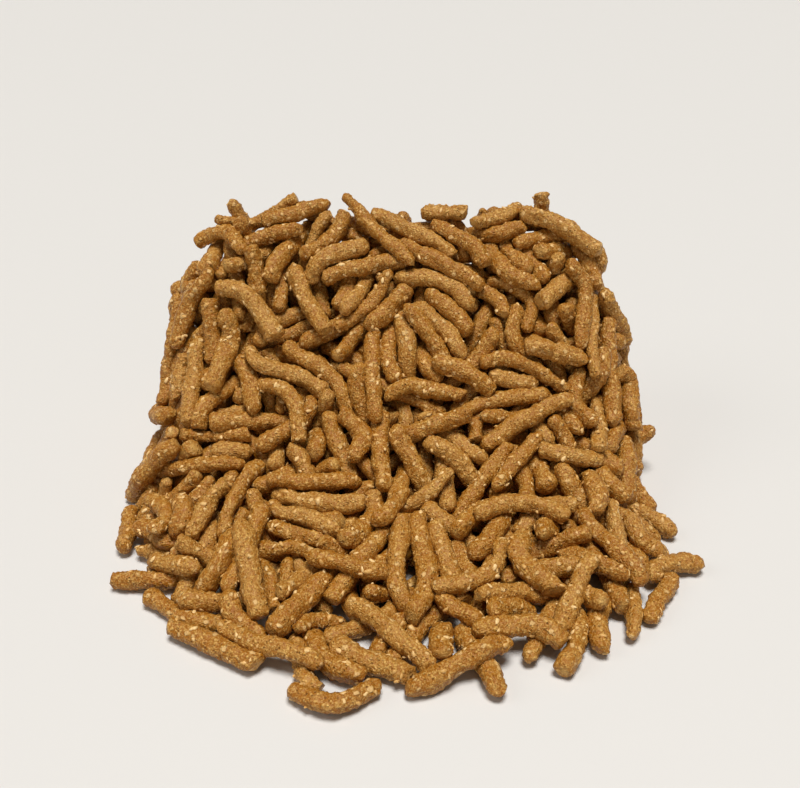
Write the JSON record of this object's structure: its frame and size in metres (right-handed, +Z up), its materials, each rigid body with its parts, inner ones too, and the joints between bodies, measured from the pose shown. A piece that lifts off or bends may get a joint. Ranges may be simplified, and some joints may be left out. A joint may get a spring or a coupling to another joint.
{
  "type": "sesame stick snack",
  "caption": "Uneven heap of small golden-brown sesame sticks, banked high at the back and run out low in front.",
  "frame": {"origin": "under the middle of the heap, on the surface it lies on", "axes": "+X to the right along the heap's width, +Y from the low front to the high back, +Z up"},
  "size_m": [0.2092, 0.1898, 0.0956],
  "materials": {
    "toasted_dough": null
  },
  "bodies": {
    "root": {"stick_heap": "toasted_dough"}
  },
  "joints": []
}
